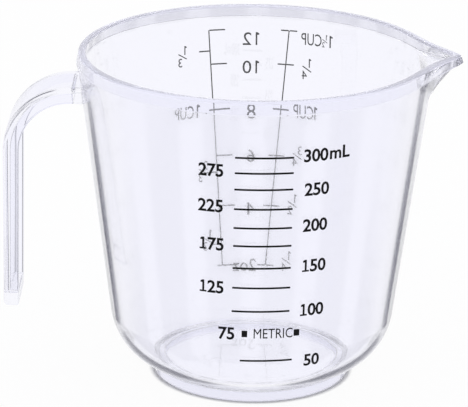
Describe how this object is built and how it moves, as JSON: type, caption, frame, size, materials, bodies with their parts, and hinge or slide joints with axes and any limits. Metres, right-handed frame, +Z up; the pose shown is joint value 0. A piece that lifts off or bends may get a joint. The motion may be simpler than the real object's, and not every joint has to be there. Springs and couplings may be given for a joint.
{
  "type": "measuring cup",
  "caption": "Clear plastic measuring cup: tapered round bowl on a foot ring, rim band with pouring spout, open J-shaped handle, printed millilitre and ounce scales.",
  "frame": {"origin": "middle of the base of the box round the whole cup, on the surface that it stands on", "axes": "+Z up, +X towards the pouring spout, -X towards the handle, -Y the side with the millilitre scale"},
  "size_m": [0.1168, 0.0914, 0.086],
  "materials": {
    "clear_plastic": "clear moulded styrene, polished, faint lavender cast",
    "black_ink": "screen-printed black ink"
  },
  "bodies": {
    "root": {"cup_bowl": "clear_plastic", "rim_band": "clear_plastic", "pour_spout": "clear_plastic", "foot_ring": "clear_plastic", "handle": "clear_plastic", "metric_line_300": "black_ink", "metric_line_275": "black_ink", "metric_line_250": "black_ink", "metric_line_225": "black_ink", "metric_line_200": "black_ink", "metric_line_175": "black_ink", "metric_line_150": "black_ink", "metric_line_125": "black_ink", "metric_line_100": "black_ink", "metric_line_050": "black_ink", "metric_square_left": "black_ink", "metric_square_right": "black_ink", "thirds_ladder": "black_ink", "quarters_ladder": "black_ink"}
  },
  "joints": []
}
